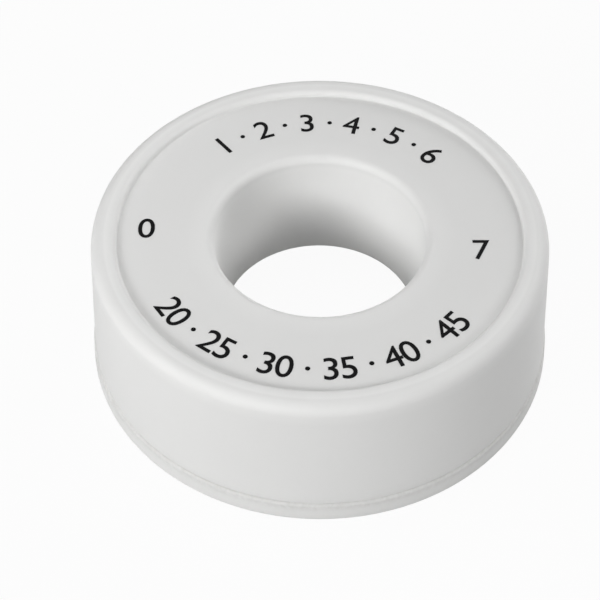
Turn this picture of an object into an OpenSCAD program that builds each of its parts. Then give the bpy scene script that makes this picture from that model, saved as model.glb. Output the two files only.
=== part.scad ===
// Thread seal tape roll: wound film on a spool that turns on a base, under a lift-off cover.
// Millimetres, +Z up along the bore, origin at the centre of the face that the roll stands on.

/* [Tape] */
// Width of the film
tape_w = 12; // [8:0.5:20]
// Free room between the winding and the skirt: 3.6 leaves space for 10 m of film
side_room = 3.6; // [1:0.1:6]
// Step where the outermost turn ends
tail_step = 0.2; // [0.1:0.05:0.5]

/* [Spool] */
// Wall of the hub tube
hub_t = 0.9; // [0.7:0.1:1.8]
// Thickness of the flange under the winding
flange_t = 0.5; // [0.4:0.1:1.2]
// Height of the bead that clips the hub under the base
bead_h = 0.4; // [0.3:0.1:1]
// How far the bead stands out of the hub
bead_w = 0.25; // [0.1:0.05:0.5]

/* [Cover] */
// Outer diameter of the top rim
rim_d = 52.5; // [48:0.5:60]
// Wall of the skirt
wall_t = 1.2; // [0.8:0.1:1.8]
// Thickness of the ring-shaped face
face_t = 0.75; // [0.6:0.05:1.5]
// Height of the rim above the face
rim_h = 0.7; // [0.7:0.05:1.2]
// Width of the rim's top
rim_w = 2.7; // [2.2:0.05:3.5]
// How far the step from the rim down to the face leans inwards
step_lean = 0.2; // [0.2:0.05:1]
// Rounding of the rim's outer edge
rim_round = 1.4; // [0.4:0.1:1.6]
// Rounding at the head of the step
head_round = 0.6; // [0.2:0.05:0.6]
// Rounding at the foot of the step
foot_round = 0.2; // [0.1:0.05:0.25]
// Rounding of the skirt's lower edge
hem_round = 0.25; // [0.1:0.05:0.7]
// Diameter of the bore at its mouth, in the plane of the face
mouth_d = 24.6; // [22:0.2:27]
// Rounding of the mouth's edge
lip_r = 1; // [0.4:0.1:1.5]
// Diameter of the straight lower end of the bore
bore_d = 23; // [18:0.2:24.4]
// Length of that straight end
land_h = 3; // [1:0.5:6]
// Wall of the sleeve that lines the bore
sleeve_t = 0.9; // [0.7:0.1:1.4]
// Rounding of the bore's lower edge
bore_round = 0.3; // [0.1:0.1:0.6]

/* [Base] */
// How much further out the foot reaches than the rim
flare = 1.25; // [0.3:0.05:2.5]
// Height of the band that shows below the cover
band_h = 2.8; // [1.8:0.1:4]
// How far the band stands out past the cover
band_step = 0.15; // [0.05:0.05:0.4]
// Rounding of the band's edges
band_round = 0.5; // [0.2:0.1:0.8]
// Height above the foot of the lower end of the hub and the sleeve
hub_z = 3.45; // [1.5:0.05:4]
// Thickness of the web that carries the spool
web_t = 0.7; // [0.5:0.05:1.3]
// Height of the ring that the cover slips over
spigot_h = 3; // [2:0.1:5]
// Thickness of that ring
spigot_t = 1; // [0.7:0.1:1.4]

/* [Fits] */
// Radial clearance of the hub in the base and round the sleeve
run_fit = 0.08; // [0.02:0.01:0.1]
// Radial clearance of the cover round the base's ring
slip_fit = 0.15; // [0.05:0.05:0.3]
// Axial play of the spool on the base
spool_play = 0.05; // [0.03:0.01:0.3]
// Room between the winding and the cover's face
tape_play = 0.1; // [0.05:0.05:0.5]
// Clearance of the winding round the hub
wind_fit = 0.05; // [0.02:0.01:0.1]
// Gap between the spool's flange and the base's ring
flange_gap = 1; // [0.4:0.1:1.5]

/* [Hidden] */
$fn = 96;
// Straight steps in one turn of the film
turn_steps = 120;

bore_r = bore_d / 2;
mouth_r = mouth_d / 2;
hub_in_r = max(mouth_r, bore_r) + sleeve_t + run_fit;
hub_r = hub_in_r + hub_t;
hole_r = hub_r + run_fit;
rim_r = rim_d / 2;
foot_r = rim_r + flare;

// Heights, from the foot up
web_z = hub_z + bead_h + spool_play;
flange_z = web_z + web_t + spool_play;
wind_z = flange_z + flange_t;
hub_top = wind_z + tape_w;
face_under = hub_top + tape_play;
face_z = face_under + face_t;
height = face_z + rim_h;
spigot_z = band_h + spigot_h;
land_z = hub_z + land_h;

// The skirt widens by this much for each unit of height on the way down
draft = (flare - band_step) / height;
function skirt_r(z) = rim_r + draft * (height - z);
function skirt_in_r(z) = skirt_r(z) - wall_t;
function spigot_r(z) = skirt_in_r(z) - slip_fit;
// The bore narrows evenly from its mouth down to its straight end
function taper_r(z) = bore_r + (mouth_r - bore_r) * (z - land_z) / (face_z - land_z);

ring_in_r = spigot_r(spigot_z) - spigot_t;
flange_r = ring_in_r - flange_gap;
// The winding keeps clear of the skirt where the skirt is narrowest
wind_r = skirt_in_r(hub_top) - side_room;

function unit(v) = v / norm(v);

// The sliver between a corner at p, with edges towards a and b, and the arc that rounds it
module corner(p, a, b, r) {
    u = unit(a - p);
    v = unit(b - p);
    half = acos(u * v) / 2;
    run = r / tan(half);
    centre = p + unit(u + v) * r / sin(half);
    difference() {
        polygon([p, p + u * run, centre, p + v * run]);
        translate(centre) circle(r);
    }
}

// Inverted cup: a recessed face inside a raised rim, a drafted skirt and a sleeve that lines the bore
module cover() {
    rim_out = [rim_r, height];
    rim_in = [rim_r - rim_w, height];
    step_foot = [rim_r - rim_w - step_lean, face_z];
    mouth = [mouth_r, face_z];
    land_top = [bore_r, land_z];
    sleeve_in = [bore_r, hub_z];
    sleeve_out = [bore_r + sleeve_t, hub_z];
    land_out = [bore_r + sleeve_t, land_z];
    sleeve_root = [taper_r(face_under) + sleeve_t, face_under];
    inside = [skirt_in_r(face_under), face_under];
    hem_in = [skirt_in_r(band_h), band_h];
    hem_out = [skirt_r(band_h), band_h];
    color("white") rotate_extrude() difference() {
        union() {
            polygon([
                rim_out, rim_in, step_foot, mouth, land_top, sleeve_in,
                sleeve_out, land_out, sleeve_root, inside, hem_in, hem_out
            ]);
            corner(step_foot, rim_in, mouth, foot_round);
            corner(inside, sleeve_root, hem_in, wall_t);
        }
        corner(rim_out, rim_in, hem_out, rim_round);
        corner(rim_in, rim_out, step_foot, head_round);
        corner(hem_out, rim_out, hem_in, hem_round);
        corner(mouth, step_foot, land_top, lip_r);
        corner(sleeve_in, sleeve_out, land_top, bore_round);
    }
}

// Standing ring with a band below the cover, a ring inside it and a web that carries the spool
module base() {
    foot_in = [ring_in_r, 0];
    foot_out = [foot_r, 0];
    ledge_out = [foot_r - draft * band_h, band_h];
    ledge_in = [spigot_r(band_h), band_h];
    top_out = [spigot_r(spigot_z), spigot_z];
    top_in = [ring_in_r, spigot_z];
    color("white") rotate_extrude() difference() {
        union() {
            polygon([foot_in, foot_out, ledge_out, ledge_in, top_out, top_in]);
            translate([hole_r, web_z]) square([ring_in_r + spigot_t / 2 - hole_r, web_t]);
        }
        corner(foot_out, foot_in, ledge_out, band_round);
        corner(ledge_out, foot_out, ledge_in, band_round);
        corner(top_out, ledge_in, top_in, spigot_t / 2);
    }
}

// Hub tube round the sleeve, with a flange under the winding and a bead that clips below the web
module spool() {
    bead_z = hub_z + bead_h;
    hub_low = [hub_in_r, hub_z];
    hub_mid_r = hub_in_r + hub_t / 2;
    color("whitesmoke") rotate_extrude() {
        translate(hub_low) square([hub_t, hub_top - hub_z]);
        translate([hub_mid_r, flange_z]) square([flange_r - hub_mid_r, flange_t]);
        polygon([hub_low, [hub_r, hub_z], [hub_r + bead_w, bead_z], [hub_in_r, bead_z]]);
    }
}

// The film's outline at turn angle a: it comes in by one step over the outermost turn
function film(a) = (wind_r - tail_step * a / 360) * [cos(a), sin(a)];

// The wound film, with its free end lying on the roll
module tape_winding() {
    color("ivory") translate([0, 0, wind_z]) linear_extrude(tape_w) difference() {
        polygon([for (i = [0:turn_steps]) film(360 * i / turn_steps)]);
        circle(hub_r + wind_fit);
    }
}

cover();
base();
spool();
tape_winding();
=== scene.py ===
# Thread seal tape roll: the finished looks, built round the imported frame.
# The frame is in metres, +Z up along the bore. Sizes in the dictionaries are millimetres, scaled by mm.
import math

import bpy
from mathutils import Matrix, Vector


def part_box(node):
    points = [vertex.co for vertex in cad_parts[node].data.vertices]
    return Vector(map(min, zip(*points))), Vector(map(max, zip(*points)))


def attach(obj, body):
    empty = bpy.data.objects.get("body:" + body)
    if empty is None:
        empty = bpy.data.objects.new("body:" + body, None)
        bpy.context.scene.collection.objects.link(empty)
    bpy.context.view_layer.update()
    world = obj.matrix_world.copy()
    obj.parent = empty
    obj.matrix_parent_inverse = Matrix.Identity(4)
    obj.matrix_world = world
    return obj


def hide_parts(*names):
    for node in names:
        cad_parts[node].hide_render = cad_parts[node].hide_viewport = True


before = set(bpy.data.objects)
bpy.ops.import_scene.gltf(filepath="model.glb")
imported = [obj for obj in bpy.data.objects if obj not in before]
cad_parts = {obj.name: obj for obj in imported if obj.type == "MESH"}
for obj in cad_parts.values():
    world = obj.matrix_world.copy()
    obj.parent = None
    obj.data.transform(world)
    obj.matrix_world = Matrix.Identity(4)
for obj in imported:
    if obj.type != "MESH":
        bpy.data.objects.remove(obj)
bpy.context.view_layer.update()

scene = bpy.context.scene
mm = 0.001
print("frame loaded:", ", ".join(sorted(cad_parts)))


# Helpers

def linear(hexCode):
    channels = [int(hexCode[i:i + 2], 16) / 255 for i in (1, 3, 5)]
    return (*(c / 12.92 if c <= 0.04045 else ((c + 0.055) / 1.055) ** 2.4 for c in channels), 1)


def addNode(tree, kind, inputs=None, pick=None, **settings):
    # Adds a node, sets or links its inputs and hands back one output, the first one unless pick names it
    node = tree.nodes.new(kind)
    for name, value in settings.items():
        setattr(node, name, value)
    for label, value in (inputs or {}).items():
        named = [s for s in node.inputs if s.name == label and s.enabled]
        socket = named[0] if named else node.inputs[label]
        if isinstance(value, bpy.types.NodeSocket):
            tree.links.new(value, socket)
        else:
            socket.default_value = value
    return next((s for s in node.outputs if s.enabled and pick in (None, s.name)), None)


def startTree(name, inputs):
    tree = bpy.data.node_groups.new(name, "GeometryNodeTree")
    for label, kind in inputs.items():
        tree.interface.new_socket(label, in_out="INPUT", socket_type="NodeSocket" + kind)
    tree.interface.new_socket("Made", in_out="OUTPUT", socket_type="NodeSocketGeometry")
    return tree, addNode(tree, "NodeGroupInput").node.outputs


def endTree(tree, geometry, finish):
    solid = addNode(tree, "GeometryNodeRealizeInstances", {"Geometry": geometry})
    dressed = addNode(tree, "GeometryNodeSetMaterial", {"Geometry": solid, "Material": finish})
    addNode(tree, "NodeGroupOutput", {"Made": dressed})


def grow(name, tree, values, startMesh=None):
    # Runs a tree on a new object and keeps what it makes as a plain mesh
    piece = bpy.data.objects.new(name, startMesh or bpy.data.meshes.new(name))
    scene.collection.objects.link(piece)
    modifier = piece.modifiers.new(tree.name, "NODES")
    modifier.node_group = tree
    sockets = {s.name: s.identifier for s in tree.interface.items_tree if s.in_out == "INPUT"}
    for label, value in values.items():
        modifier[sockets[label]] = value
    evaluated = piece.evaluated_get(bpy.context.evaluated_depsgraph_get())
    made = bpy.data.meshes.new_from_object(evaluated)
    piece.modifiers.clear()
    piece.data = made
    return piece


def startMaterial(name):
    material = bpy.data.materials.new(name)
    material.use_nodes = True
    tree = material.node_tree
    place = addNode(tree, "ShaderNodeTexCoord", pick="Object")
    return material, tree, tree.nodes["Principled BSDF"], place


# Materials

plasticLook = {
    "light": "#eaeae9", "dark": "#e5e5e4", "cloud": 7.0,  # the pigment's white and the size of its clouds
    "thinShade": "#d9d9d8", "thinShadeShare": 0.6,  # painted shade: a greyer white laid on thin walls and on the rim's roundings, step and lip, for light lost through the wall and to tone down their highlights
    "soil": "#b4b3af", "dustAndShadeShare": 0.35, "speck": 0.5,  # dust that stays in the seams, with painted shade darkening the seams, the step's foot and the band's lit top edge
    "rough": (0.76, 0.86), "polish": 0.05,  # handling polishes the edges
    "grain": 0.30, "grainDepth": 0.003,  # the tool's own grain is finer and wouldn't show
    "sink": 7.0, "sinkDepth": 0.02,  # the skin is never quite true
    "scatter": 0.8, "scatterShare": 0.25, "ior": 1.49,
}


def mouldedPolypropylene(name, look):
    # White polypropylene from a satin tool: broad soft highlights, slightly cloudy, light sinks in a little
    material, tree, shader, place = startMaterial(name)
    clouds = addNode(tree, "ShaderNodeTexNoise", {
        "Vector": place, "Scale": 1 / (look["cloud"] * mm), "Detail": 3})
    specks = addNode(tree, "ShaderNodeTexNoise", {
        "Vector": place, "Scale": 1 / (look["speck"] * mm), "Detail": 4})
    grain = addNode(tree, "ShaderNodeTexNoise", {
        "Vector": place, "Scale": 1 / (look["grain"] * mm), "Detail": 2})
    sinks = addNode(tree, "ShaderNodeTexNoise", {
        "Vector": place, "Scale": 1 / (look["sink"] * mm), "Detail": 0})
    soil = addNode(tree, "ShaderNodeAttribute", {}, "Fac", attribute_name="soil")
    wear = addNode(tree, "ShaderNodeAttribute", {}, "Fac", attribute_name="wear")
    # the thin attribute marks painted shade: a greyer white on thin walls, the rim's rounded edges, the step
    # and the lip
    thin = addNode(tree, "ShaderNodeAttribute", {}, "Fac", attribute_name="thin")

    dense = addNode(tree, "ShaderNodeMix", {
        "Factor": clouds, "A": linear(look["dark"]), "B": linear(look["light"])}, data_type="RGBA")
    paintedShadeShare = addNode(tree, "ShaderNodeMath", {0: thin, 1: look["thinShadeShare"]}, operation="MULTIPLY")
    white = addNode(tree, "ShaderNodeMix", {
        "Factor": paintedShadeShare, "A": dense, "B": linear(look["thinShade"])}, data_type="RGBA")
    # dust in the seams together with painted shade: the seam, the step's foot and the band's top edge are
    # darkened, the band's top edge to tone down its highlight
    dustAndShadeSpots = addNode(tree, "ShaderNodeMath", {0: soil, 1: specks}, operation="MULTIPLY")
    dustAndShadeAmount = addNode(tree, "ShaderNodeMath", {0: dustAndShadeSpots, 1: 2 * look["dustAndShadeShare"]}, operation="MULTIPLY")
    colour = addNode(tree, "ShaderNodeMix", {
        "Factor": dustAndShadeAmount, "A": white, "B": linear(look["soil"])}, data_type="RGBA")
    tree.links.new(colour, shader.inputs["Base Color"])

    satin = addNode(tree, "ShaderNodeMapRange", {
        "Value": specks, "From Min": 0.3, "From Max": 0.7,
        "To Min": look["rough"][0], "To Max": look["rough"][1]})
    worn = addNode(tree, "ShaderNodeMath", {0: wear, 1: look["polish"]}, operation="MULTIPLY")
    rough = addNode(tree, "ShaderNodeMath", {0: satin, 1: worn}, operation="SUBTRACT")
    tree.links.new(rough, shader.inputs["Roughness"])

    unevenness = addNode(tree, "ShaderNodeBump", {
        "Height": sinks, "Distance": look["sinkDepth"] * mm, "Strength": 1})
    skin = addNode(tree, "ShaderNodeBump", {
        "Height": grain, "Distance": look["grainDepth"] * mm, "Strength": 1, "Normal": unevenness})
    tree.links.new(skin, shader.inputs["Normal"])

    shader.inputs["IOR"].default_value = look["ior"]
    shader.inputs["Subsurface Weight"].default_value = look["scatterShare"]
    shader.inputs["Subsurface Radius"].default_value = (1, 1, 1)
    shader.inputs["Subsurface Scale"].default_value = look["scatter"] * mm
    return material


filmLook = {
    "light": "#f0f0ee", "dark": "#e6e6e3",
    "streak": 0.35, "length": 30.0, "lineDepth": 0.006,  # calender lines run along the film
    "rough": 0.5,
    "scatter": 0.6, "scatterShare": 0.35, "ior": 1.36,
}


def unsinteredFilm(name, look):
    # Unsintered PTFE film: dense chalky white, waxy, with fine lines drawn along its length by the rolls
    material, tree, shader, place = startMaterial(name)
    along = 1 / (look["length"] * mm)
    across = 1 / (look["streak"] * mm)
    stretched = addNode(tree, "ShaderNodeMapping", {"Vector": place, "Scale": (along, along, across)})
    lines = addNode(tree, "ShaderNodeTexNoise", {
        "Vector": stretched, "Scale": 1, "Detail": 4, "Roughness": 0.6})
    white = addNode(tree, "ShaderNodeMix", {
        "Factor": lines, "A": linear(look["dark"]), "B": linear(look["light"])}, data_type="RGBA")
    tree.links.new(white, shader.inputs["Base Color"])
    skin = addNode(tree, "ShaderNodeBump", {
        "Height": lines, "Distance": look["lineDepth"] * mm, "Strength": 1})
    tree.links.new(skin, shader.inputs["Normal"])
    shader.inputs["Roughness"].default_value = look["rough"]
    shader.inputs["IOR"].default_value = look["ior"]
    shader.inputs["Subsurface Weight"].default_value = look["scatterShare"]
    shader.inputs["Subsurface Radius"].default_value = (1, 1, 1)
    shader.inputs["Subsurface Scale"].default_value = look["scatter"] * mm
    return material


inkLook = {
    "dark": "#060607", "thin": "#161617", "mottle": 0.35,
    "rough": (0.5, 0.65), "shine": 0.06, "depth": 0.004,
}


def padPrintInk(name, look):
    # Black solvent ink laid on by a soft pad: nearly black, thinner in patches, duller than the plastic
    material, tree, shader, place = startMaterial(name)
    mottle = addNode(tree, "ShaderNodeTexNoise", {
        "Vector": place, "Scale": 1 / (look["mottle"] * mm), "Detail": 5, "Roughness": 0.65})
    patch = addNode(tree, "ShaderNodeMapRange", {"Value": mottle, "From Min": 0.45, "From Max": 0.75})
    black = addNode(tree, "ShaderNodeMix", {
        "Factor": patch, "A": linear(look["dark"]), "B": linear(look["thin"])}, data_type="RGBA")
    tree.links.new(black, shader.inputs["Base Color"])
    dull = addNode(tree, "ShaderNodeMapRange", {
        "Value": mottle, "From Min": 0.3, "From Max": 0.7,
        "To Min": look["rough"][0], "To Max": look["rough"][1]})
    tree.links.new(dull, shader.inputs["Roughness"])
    shader.inputs["Specular IOR Level"].default_value = look["shine"]
    skin = addNode(tree, "ShaderNodeBump", {
        "Height": mottle, "Distance": look["depth"] * mm, "Strength": 1})
    tree.links.new(skin, shader.inputs["Normal"])
    return material


coverPlastic = mouldedPolypropylene("moulded polypropylene, cover", plasticLook)
basePlastic = mouldedPolypropylene("moulded polypropylene, base", plasticLook)
spoolLook = {**plasticLook, "light": "#e7e7e6", "dark": "#e2e2e1"}
spoolPlastic = mouldedPolypropylene("moulded polypropylene, spool", spoolLook)
sealFilm = unsinteredFilm("unsintered PTFE film", filmLook)
blackInk = padPrintInk("black pad-print ink", inkLook)
print("materials ready")


# Turned mouldings: one outline swept round the bore

turning = {
    "steps": 288,  # straight steps round the bore
    "arcStep": 6.0,  # degrees between the points of an arc
    "longest": 0.7,  # longest straight step along an outline
    "fade": 0.5,  # how fast wear and dust fade away from an edge
    "path": 20.0,  # radius of the sweep's own circle
}


def arc(centre, radius, start, end):
    count = math.ceil(abs(end - start) / turning["arcStep"])
    angles = [math.radians(start + (end - start) * i / count) for i in range(count + 1)]
    return [(centre[0] + radius * math.cos(a), centre[1] + radius * math.sin(a)) for a in angles]


def roundCorner(before, here, after, rounding):
    back = (Vector(before) - Vector(here)).normalized()
    ahead = (Vector(after) - Vector(here)).normalized()
    half = back.angle(ahead) / 2
    centre = Vector(here) + (back + ahead).normalized() * rounding / math.sin(half)
    run = rounding / math.tan(half)
    first, last = (Vector(here) + side * run - centre for side in (back, ahead))
    start = math.degrees(math.atan2(first.y, first.x))
    sweep = (math.degrees(math.atan2(last.y, last.x)) - start + 180) % 360 - 180
    return arc(centre, rounding, start, start + sweep)


def corner(radius, z, rounding=0, wear=0, soil=0, thin=0):
    return (radius, z, rounding, wear, soil, thin)


def fillOutline(corners):
    # Wear, and the dust with its painted shade, fade away from their corner; the thin walls' painted shade
    # runs evenly from one corner to the next
    rounded = []
    for i, (r, z, rounding, *marks) in enumerate(corners):
        around = [(r, z)]
        if rounding:
            around = roundCorner(corners[i - 1][:2], (r, z), corners[(i + 1) % len(corners)][:2], rounding)
        rounded += [(Vector(p), *marks) for p in around]
    points = []
    for i, (here, wear, soil, thin) in enumerate(rounded):
        ahead, nextWear, nextDustAndShade, nextThin = rounded[(i + 1) % len(rounded)]
        length = (ahead - here).length
        count = max(1, math.ceil(length / turning["longest"]))
        for k in range(count):
            share = k / count
            spot = here.lerp(ahead, share)
            near = math.exp(-length * share / turning["fade"])
            far = math.exp(-length * (1 - share) / turning["fade"])
            points.append({
                "r": spot.x, "z": spot.y, "wear": max(wear * near, nextWear * far),
                "soil": max(soil * near, nextDustAndShade * far), "thin": thin + (nextThin - thin) * share})
    return points


turnedTree, given = startTree("turnedMoulding", {
    "Outline": "Geometry", "Steps": "Int", "Path Radius": "Float", "Finish": "Material"})
path = addNode(turnedTree, "GeometryNodeCurvePrimitiveCircle", {
    "Resolution": given["Steps"], "Radius": given["Path Radius"]})
outlineCurve = addNode(turnedTree, "GeometryNodeMeshToCurve", {"Mesh": given["Outline"]})
swept = addNode(turnedTree, "GeometryNodeCurveToMesh", {"Curve": path, "Profile Curve": outlineCurve})
smooth = addNode(turnedTree, "GeometryNodeSetShadeSmooth", {"Geometry": swept})
endTree(turnedTree, smooth, given["Finish"])


def turn(name, corners, finish):
    points = fillOutline(corners)[::-1]  # listed against the clock, so turned round for outward faces
    mesh = bpy.data.meshes.new(name)
    # The sweep takes the outline's x outwards from its circle and its y downwards
    flat = [((p["r"] - turning["path"]) * mm, -p["z"] * mm, 0) for p in points]
    mesh.from_pydata(flat, [(i, (i + 1) % len(flat)) for i in range(len(flat))], [])
    for label in ("wear", "soil", "thin"):
        mesh.attributes.new(label, "FLOAT", "POINT").data.foreach_set("value", [p[label] for p in points])
    return grow(name, turnedTree, {
        "Steps": turning["steps"], "Path Radius": turning["path"] * mm, "Finish": finish}, mesh)


# Sizes that more than one moulding follows; the heights come from the frame

coverLow, coverHigh = (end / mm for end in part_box("cover"))
baseLow, baseHigh = (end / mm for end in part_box("base"))
spoolLow, spoolHigh = (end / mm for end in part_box("spool"))
filmLow, filmHigh = (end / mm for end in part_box("tape_winding"))

rollForm = {
    "rim": 26.25, "flare": 1.25, "bandStep": 0.15,  # radius at the top, and how the side widens downwards
    "wall": 1.2, "slipFit": 0.15, "spigot": 1.0,
    "mouth": 12.3, "bore": 11.5, "land": 3.0,  # the bore narrows down to a short straight end
    "sleeve": 0.9, "hub": 0.9, "runFit": 0.08,
    "rimHeight": 0.7, "web": 0.7, "play": 0.05,
    "break": 0.08,  # the least rounding of an edge
}
height = coverHigh.z
faceHeight = height - rollForm["rimHeight"]
landTop = spoolLow.z + rollForm["land"]
draft = (rollForm["flare"] - rollForm["bandStep"]) / height
hubInside = rollForm["mouth"] + rollForm["sleeve"] + rollForm["runFit"]
hubRadius = hubInside + rollForm["hub"]
holeRadius = hubRadius + rollForm["runFit"]
edgeBreak = rollForm["break"]


def skirtRadius(z):
    return rollForm["rim"] + draft * (height - z)


def spigotRadius(z):
    return skirtRadius(z) - rollForm["wall"] - rollForm["slipFit"]


def boreRadius(z):
    up = max(0, (z - landTop) / (faceHeight - landTop))
    return rollForm["bore"] + (rollForm["mouth"] - rollForm["bore"]) * up


ringInside = spigotRadius(baseHigh.z) - rollForm["spigot"]


# Cover: a recessed face inside a raised rim, a drafted skirt and the sleeve that lines the bore

coverForm = {
    "rimWidth": 2.7, "rimRound": 1.4,
    "stepLean": 0.2, "headRound": 0.6, "footRound": 0.2,  # the step from the rim down to the face
    "face": 0.75, "lip": 1.0, "boreRound": 0.3, "hemRound": 0.25,
    "rimFlat": 0.2,  # from the rim's outer rounding to its thickest place
    "backed": 13.6, "thinShade": 15.6,  # radii between which the face's painted thin-wall shade fades in, where the hub no longer backs it
    "lipEnd": 16.5, "shoulder": 16.0,  # heights where the bore's wall and the skirt take over from the edge
}


def makeCover():
    form = coverForm
    rimInside = rollForm["rim"] - form["rimWidth"]
    under = faceHeight - form["face"]
    outside = skirtRadius(coverLow.z)
    sleeve = rollForm["sleeve"]
    # thin on each corner sets how much painted shade that stretch gets, which also tones down the rim's and
    # lip's highlights
    corners = [
        corner(rollForm["rim"], height, form["rimRound"], wear=1, thin=0.6),
        corner(rollForm["rim"] - form["rimRound"] - form["rimFlat"], height),
        corner(rimInside, height, form["headRound"], wear=0.4, thin=0.6),
        corner(rimInside - form["stepLean"], faceHeight, form["footRound"], soil=0.1, thin=1),
        corner(form["thinShade"], faceHeight, thin=0.9),
        corner(form["backed"], faceHeight, thin=0.5),
        corner(rollForm["mouth"], faceHeight, form["lip"], wear=0.5, thin=0.5),
        corner(boreRadius(form["lipEnd"]), form["lipEnd"]),
        corner(rollForm["bore"], landTop),
        corner(rollForm["bore"], spoolLow.z, form["boreRound"], wear=0.5),
        corner(rollForm["bore"] + sleeve, spoolLow.z, edgeBreak),
        corner(rollForm["bore"] + sleeve, landTop),
        corner(boreRadius(under) + sleeve, under, edgeBreak),
        corner(skirtRadius(under) - rollForm["wall"], under, rollForm["wall"]),
        corner(outside - rollForm["wall"], coverLow.z, edgeBreak),
        corner(outside, coverLow.z, form["hemRound"], wear=0.4, soil=0.2, thin=1),
        corner(skirtRadius(form["shoulder"]), form["shoulder"], thin=1),
    ]
    return turn("coverShell", corners, coverPlastic)


# Base: a band below the cover, the ring that the cover slips over, and the web that carries the spool

baseForm = {"bandRound": 0.5, "webRound": 0.25}


def makeBase():
    form = baseForm
    foot = rollForm["rim"] + rollForm["flare"]
    bandTop = coverLow.z
    webTop = filmLow.z - spoolForm["flange"] - rollForm["play"]
    webUnder = webTop - rollForm["web"]
    # thin paints the whole band with the thin-wall painted shade
    corners = [
        corner(ringInside, 0, edgeBreak),
        corner(foot, 0, form["bandRound"], wear=1, soil=0.3, thin=1),
        # painted shade: the heavy dust value on the band's top edge mostly darkens its lit highlight
        corner(foot - draft * bandTop, bandTop, form["bandRound"], wear=0.6, soil=0.8, thin=1),
        corner(spigotRadius(bandTop), bandTop, edgeBreak),
        corner(spigotRadius(baseHigh.z), baseHigh.z, rollForm["spigot"] / 2, wear=0.3),
        corner(ringInside, baseHigh.z, edgeBreak),
        corner(ringInside, webTop, form["webRound"]),
        corner(holeRadius, webTop, edgeBreak),
        corner(holeRadius, webUnder, edgeBreak),
        corner(ringInside, webUnder, form["webRound"]),
    ]
    return turn("baseRing", corners, basePlastic)


# Spool: the hub tube round the sleeve, the flange under the winding and the bead below the web

spoolForm = {
    "flange": 0.5, "flangeRound": 0.15, "topRound": 0.25, "rootRound": 0.04,
    "beadWidth": 0.25, "beadHeight": 0.4,
}


def makeSpool():
    form = spoolForm
    flangeTop = filmLow.z
    flangeUnder = flangeTop - form["flange"]
    beadTop = spoolLow.z + form["beadHeight"]
    corners = [
        corner(hubRadius, spoolHigh.z, form["topRound"], wear=0.5),
        corner(hubInside, spoolHigh.z, form["topRound"], wear=0.5),
        corner(hubInside, spoolLow.z, edgeBreak),
        corner(hubRadius, spoolLow.z, edgeBreak),
        corner(hubRadius + form["beadWidth"], beadTop, edgeBreak),
        corner(hubRadius, beadTop, form["rootRound"]),
        corner(hubRadius, flangeUnder, form["rootRound"]),
        corner(spoolHigh.x, flangeUnder, form["flangeRound"]),
        corner(spoolHigh.x, flangeTop, form["flangeRound"]),
        corner(hubRadius, flangeTop, form["rootRound"]),
    ]
    return turn("spoolHub", corners, spoolPlastic)


cover = makeCover()
base = makeBase()
spool = makeSpool()
print("mouldings turned:", [len(o.data.polygons) for o in (cover, base, spool)], "faces")


# Winding: the film itself, wound as one spiral strip

filmForm = {
    "length": 10000.0, "thickness": 0.06, "clear": 0.05,  # the film is pulled thinner as it is wound
    "steps": 110, "wander": 0.09, "sway": 0.7,  # each turn lies a little higher or lower than the last
    "tailLift": 0.3, "tailShare": 0.0035, "seed": 4.0,
    "crease": 40.0,  # degrees from which an edge of the strip stays sharp
}

filmTree, given = startTree("woundFilm", {
    "Turns": "Float", "First Radius": "Float", "Last Radius": "Float", "Width": "Float",
    "Thickness": "Float", "Middle": "Float", "Steps": "Int", "Wander": "Float", "Sway": "Float",
    "Seed": "Float", "Tail Lift": "Float", "Tail Start": "Float", "Finish": "Material"})
spiral = addNode(filmTree, "GeometryNodeCurveSpiral", {
    "Resolution": given["Steps"], "Rotations": given["Turns"], "Start Radius": given["First Radius"],
    "End Radius": given["Last Radius"], "Height": 0, "Reverse": True})
index = addNode(filmTree, "GeometryNodeInputIndex")
turnNumber = addNode(filmTree, "ShaderNodeMath", {0: index, 1: given["Steps"]}, operation="DIVIDE")
swayed = addNode(filmTree, "ShaderNodeMath", {
    0: turnNumber, 1: given["Sway"], 2: given["Seed"]}, operation="MULTIPLY_ADD")
wobble = addNode(filmTree, "ShaderNodeTexNoise", {
    "W": swayed, "Scale": 1, "Detail": 2}, noise_dimensions="1D")
centred = addNode(filmTree, "ShaderNodeMath", {0: wobble, 1: 0.5}, operation="SUBTRACT")
rise = addNode(filmTree, "ShaderNodeMath", {
    0: centred, 1: given["Wander"], 2: given["Middle"]}, operation="MULTIPLY_ADD")
along = addNode(filmTree, "GeometryNodeSplineParameter", pick="Factor")
lift = addNode(filmTree, "ShaderNodeMapRange", {
    "Value": along, "From Min": given["Tail Start"], "From Max": 1,
    "To Min": 0, "To Max": given["Tail Lift"]}, interpolation_type="SMOOTHSTEP")
spot = addNode(filmTree, "GeometryNodeInputPosition")
outwards = addNode(filmTree, "ShaderNodeVectorMath", {0: spot}, operation="NORMALIZE")
peeled = addNode(filmTree, "ShaderNodeVectorMath", {0: outwards, "Scale": lift}, operation="SCALE")
upwards = addNode(filmTree, "ShaderNodeCombineXYZ", {"Z": rise})
offset = addNode(filmTree, "ShaderNodeVectorMath", {0: peeled, 1: upwards}, operation="ADD")
laid = addNode(filmTree, "GeometryNodeSetPosition", {"Geometry": spiral, "Offset": offset})
section = addNode(filmTree, "GeometryNodeCurvePrimitiveQuadrilateral", {
    "Width": given["Thickness"], "Height": given["Width"]})
strip = addNode(filmTree, "GeometryNodeCurveToMesh", {
    "Curve": laid, "Profile Curve": section, "Fill Caps": True})
endTree(filmTree, strip, given["Finish"])


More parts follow.
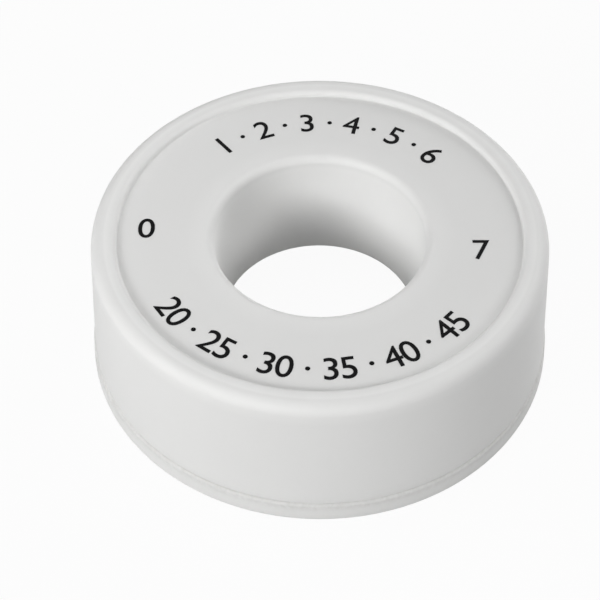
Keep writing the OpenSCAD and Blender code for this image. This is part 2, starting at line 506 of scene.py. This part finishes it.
def windFilm():
    form = filmForm
    first = hubRadius + form["clear"] + form["thickness"] / 2
    last = filmHigh.x - form["thickness"] / 2
    turns = round(form["length"] / (math.pi * (first + last)))
    width = filmHigh.z - filmLow.z - form["wander"]
    film = grow("woundFilm", filmTree, {
        "Turns": float(turns), "First Radius": first * mm, "Last Radius": last * mm,
        "Width": width * mm, "Thickness": form["thickness"] * mm,
        "Middle": (filmLow.z + filmHigh.z) / 2 * mm, "Steps": form["steps"],
        "Wander": form["wander"] * mm, "Sway": form["sway"], "Seed": form["seed"],
        "Tail Lift": form["tailLift"] * mm, "Tail Start": 1 - form["tailShare"], "Finish": sealFilm})
    film.data.shade_smooth()
    film.data.set_sharp_from_angle(angle=math.radians(form["crease"]))
    print("film wound:", turns, "turns,", len(film.data.polygons), "faces")
    return film


film = windFilm()


# Print: plain numbers round the face, laid on by a pad

printForm = {
    "size": 4.3, "weight": 0.025, "depth": 0.02, "sunk": 0.01, "curveSteps": 5,
    "upper": {
        "text": "1 · 2 · 3 · 4 · 5 · 6", "radius": 17.1, "side": 1.0, "turn": -3.5, "spacing": 0.93},
    "lower": {
        "text": "20 · 25 · 30 · 35 · 40 · 45", "radius": 21.6, "side": -1.0, "turn": -3.5, "spacing": 0.97},
    "marks": {  # single digits: the angle round the bore and the radius of each
        "printLeft": ("0", 178.0, 20.0), "printRight": ("7", -7.5, 18.6)},
    "digitMiddle": 0.36,  # half a digit's height, as a share of the size
    "weld": 0.001,
}

printTree, given = startTree("printedNumbers", {
    "Text": "String", "Size": "Float", "Spacing": "Float", "Weight": "Float", "Radius": "Float",
    "Side": "Float", "Turn": "Float", "Shift": "Vector", "Depth": "Float", "Curve Steps": "Int",
    "Weld": "Float", "Finish": "Material"})
letters = addNode(printTree, "GeometryNodeStringToCurves", {
    "String": given["Text"], "Size": given["Size"], "Character Spacing": given["Spacing"]},
    align_x="CENTER", align_y="BOTTOM_BASELINE", pivot_mode="BOTTOM_CENTER")
pivot = letters.node.outputs["Pivot Point"]
keep = addNode(printTree, "GeometryNodeCaptureAttribute", domain="INSTANCE").node
keep.capture_items.new("VECTOR", "Middle")
keep.capture_items.new("VECTOR", "Pivot")
middle = addNode(printTree, "ShaderNodeVectorMath", {
    0: addNode(printTree, "GeometryNodeInputPosition"), 1: pivot}, operation="ADD")
for source, label in ((letters, "Geometry"), (middle, "Middle"), (pivot, "Pivot")):
    printTree.links.new(source, keep.inputs[label])
middleX = addNode(printTree, "ShaderNodeSeparateXYZ", {"Vector": keep.outputs["Middle"]}, "X")
pivotX = addNode(printTree, "ShaderNodeSeparateXYZ", {"Vector": keep.outputs["Pivot"]}, "X")
swing = addNode(printTree, "ShaderNodeMath", {0: middleX, 1: given["Radius"]}, operation="DIVIDE")
towards = addNode(printTree, "ShaderNodeMath", {0: swing, 1: given["Side"]}, operation="MULTIPLY")
angle = addNode(printTree, "ShaderNodeMath", {0: given["Turn"], 1: towards}, operation="SUBTRACT")
baseline = addNode(printTree, "ShaderNodeMath", {0: given["Radius"], 1: given["Side"]}, operation="MULTIPLY")
halfBack = addNode(printTree, "ShaderNodeMath", {0: pivotX, 1: -1}, operation="MULTIPLY")
start = addNode(printTree, "ShaderNodeCombineXYZ", {"X": halfBack, "Y": baseline})
lined = addNode(printTree, "GeometryNodeSetPosition", {
    "Geometry": keep.outputs["Geometry"], "Position": start})
spin = addNode(printTree, "ShaderNodeCombineXYZ", {"Z": angle})
placed = addNode(printTree, "GeometryNodeRotateInstances", {
    "Instances": lined, "Rotation": spin, "Local Space": False})
outlines = addNode(printTree, "GeometryNodeRealizeInstances", {"Geometry": placed})
finer = addNode(printTree, "GeometryNodeSetSplineResolution", {
    "Geometry": outlines, "Resolution": given["Curve Steps"]})
drawn = addNode(printTree, "GeometryNodeResampleCurve", {"Curve": finer}, mode="EVALUATED")
heading = addNode(printTree, "GeometryNodeInputTangent")
sideways = addNode(printTree, "ShaderNodeVectorMath", {
    0: heading, 1: (0, 0, 1)}, operation="CROSS_PRODUCT")
spread = addNode(printTree, "ShaderNodeVectorMath", {
    0: sideways, "Scale": given["Weight"]}, operation="SCALE")
bolder = addNode(printTree, "GeometryNodeSetPosition", {"Geometry": drawn, "Offset": spread})
under = addNode(printTree, "GeometryNodeFillCurve", {"Curve": bolder}, mode="TRIANGLES")
above = addNode(printTree, "GeometryNodeExtrudeMesh", {
    "Mesh": under, "Offset Scale": given["Depth"], "Individual": False}, "Mesh")
turnedOver = addNode(printTree, "GeometryNodeFlipFaces", {"Mesh": under})
both = addNode(printTree, "GeometryNodeJoinGeometry")
for part in (above, turnedOver):
    printTree.links.new(part, both.node.inputs["Geometry"])
sealed = addNode(printTree, "GeometryNodeMergeByDistance", {"Geometry": both, "Distance": given["Weld"]})
moved = addNode(printTree, "GeometryNodeTransform", {"Geometry": sealed, "Translation": given["Shift"]})
endTree(printTree, moved, given["Finish"])


def printNumbers(name, text, radius, side, turn, spacing, shift):
    form = printForm
    return grow(name, printTree, {
        "Text": text, "Size": form["size"] * mm, "Spacing": spacing, "Weight": form["weight"] * mm,
        "Radius": radius * mm, "Side": side, "Turn": math.radians(turn), "Shift": [c * mm for c in shift],
        "Depth": (form["depth"] + form["sunk"]) * mm, "Curve Steps": form["curveSteps"],
        "Weld": form["weld"] * mm, "Finish": blackInk})


def makePrint():
    level = faceHeight - printForm["sunk"]
    marks = []
    for name in ("upper", "lower"):
        marks.append(printNumbers("print" + name.title(), **printForm[name], shift=(0, 0, level)))
    digitHalf = printForm["size"] * printForm["digitMiddle"]
    for name, (text, where, radius) in printForm["marks"].items():
        a = math.radians(where)
        spot = (radius * math.cos(a), radius * math.sin(a) - digitHalf, level)
        marks.append(printNumbers(name, text, 0.0, 1.0, 0.0, 1.0, spot))
    print("print laid:", [len(m.data.polygons) for m in marks], "faces")
    return marks


marks = makePrint()


# Bodies: what each piece moves with and stands for

dressed = (
    (cover, "cover", "cover_plastic"),
    (base, "base", "base_plastic"),
    (spool, "spool", "spool_plastic"),
    (film, "tape_winding", "seal_film"),
)
for piece, node, slot in dressed:
    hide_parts(node)
for body, riders in (("cover", [cover, *marks]), ("base", [base]), ("spool", [spool, film])):
    for piece in riders:
        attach(piece, body)


# Stage: a white sheet, a pale room and soft lamps

stageForm = {
    "floor": 3000.0, "paper": "#cccccc",
    "glow": 0.95,  # how much of the floor that the eye meets is plain white; the rest keeps the shadow
    "room": 0.02,  # the light that the room itself gives
}


def whiteToTheEye(tree):
    # 1 where the camera, a reflection or a see-through ray meets the stage
    rays = addNode(tree, "ShaderNodeLightPath").node.outputs
    total = addNode(tree, "ShaderNodeMath", {
        0: rays["Is Camera Ray"], 1: rays["Is Glossy Ray"]}, operation="ADD")
    return addNode(tree, "ShaderNodeMath", {
        0: total, 1: rays["Is Transmission Ray"]}, operation="ADD", use_clamp=True)


def makeFloor():
    material = bpy.data.materials.new("white paper")
    material.use_nodes = True
    tree = material.node_tree
    tree.nodes.remove(tree.nodes["Principled BSDF"])
    sheet = addNode(tree, "ShaderNodeBsdfDiffuse", {"Color": linear(stageForm["paper"])})
    white = addNode(tree, "ShaderNodeEmission", {"Strength": 1})
    share = addNode(tree, "ShaderNodeMath", {
        0: whiteToTheEye(tree), 1: stageForm["glow"]}, operation="MULTIPLY")
    seen = addNode(tree, "ShaderNodeMixShader", {0: share, 1: sheet, 2: white})
    tree.links.new(seen, tree.nodes["Material Output"].inputs["Surface"])
    half = stageForm["floor"] * mm / 2
    sides = ((-half, -half, 0), (half, -half, 0), (half, half, 0), (-half, half, 0))
    mesh = bpy.data.meshes.new("floor")
    mesh.from_pydata(sides, [], [(0, 1, 2, 3)])
    mesh.materials.append(material)
    floor = bpy.data.objects.new("floor", mesh)
    scene.collection.objects.link(floor)


def makeRoom():
    world = bpy.data.worlds.new("pale room")
    world.use_nodes = True
    tree = world.node_tree
    strength = addNode(tree, "ShaderNodeMapRange", {
        "Value": whiteToTheEye(tree), "To Min": stageForm["room"], "To Max": 1})
    tree.links.new(strength, tree.nodes["Background"].inputs["Strength"])
    tree.nodes["Background"].inputs["Color"].default_value = (1, 1, 1, 1)
    scene.world = world


lamps = {
    "leftLow": {"azimuth": 227, "elevation": 23.5, "distance": 500, "wide": 340, "tall": 140, "power": 1.62},
    "left": {"azimuth": 180, "elevation": 54, "distance": 180, "wide": 100, "tall": 80, "power": 0.09},
    "front": {"azimuth": 264, "elevation": 54, "distance": 500, "wide": 400, "tall": 200, "power": 0.28},
    "frontRight": {"azimuth": 322, "elevation": 24, "distance": 500, "wide": 380, "tall": 110, "power": 0.62},
    "right": {"azimuth": 0, "elevation": 42, "distance": 500, "wide": 250, "tall": 200, "power": 0.28},
    "back": {"azimuth": 52, "elevation": 17, "distance": 500, "wide": 300, "tall": 200, "power": 1.25},
    "top": {"azimuth": 90, "elevation": 75, "distance": 500, "wide": 300, "tall": 300, "power": 0.03},
}


def makeLamps():
    for name, lamp in lamps.items():
        light = bpy.data.lights.new(name, "AREA")
        light.shape = "RECTANGLE"
        light.size = lamp["wide"] * mm
        light.size_y = lamp["tall"] * mm
        light.energy = lamp["power"]
        a, e = math.radians(lamp["azimuth"]), math.radians(lamp["elevation"])
        out = Vector((math.cos(e) * math.cos(a), math.cos(e) * math.sin(a), math.sin(e)))
        panel = bpy.data.objects.new(name, light)
        panel.location = (out * lamp["distance"] + Vector((0, 0, faceHeight))) * mm
        panel.rotation_mode = "QUATERNION"
        panel.rotation_quaternion = (-out).to_track_quat("-Z", "Y")
        scene.collection.objects.link(panel)


eye = {
    "distance": 210.0, "elevation": 49.803, "aim": (-2.335, 0, 6.299), "roll": -0.454,
    "lens": 102.48, "near": 10.0,
}


def makeCamera():
    e, roll = math.radians(eye["elevation"]), math.radians(eye["roll"])
    place = Vector((0, -math.cos(e), math.sin(e))) * eye["distance"]
    depth = (Vector(eye["aim"]) - place).normalized()
    level = depth.cross(Vector((0, 0, 1))).normalized()
    upright = level.cross(depth)
    right = level * math.cos(roll) + upright * math.sin(roll)
    up = upright * math.cos(roll) - level * math.sin(roll)
    data = bpy.data.cameras.new("eye")
    data.lens = eye["lens"]
    data.clip_start = eye["near"] * mm
    camera = bpy.data.objects.new("eye", data)
    camera.matrix_world = Matrix.Translation(place * mm) @ Matrix((right, up, -depth)).transposed().to_4x4()
    scene.collection.objects.link(camera)
    scene.camera = camera


makeFloor()
makeRoom()
makeLamps()
makeCamera()
scene.view_settings.view_transform = "Standard"
print("stage ready")
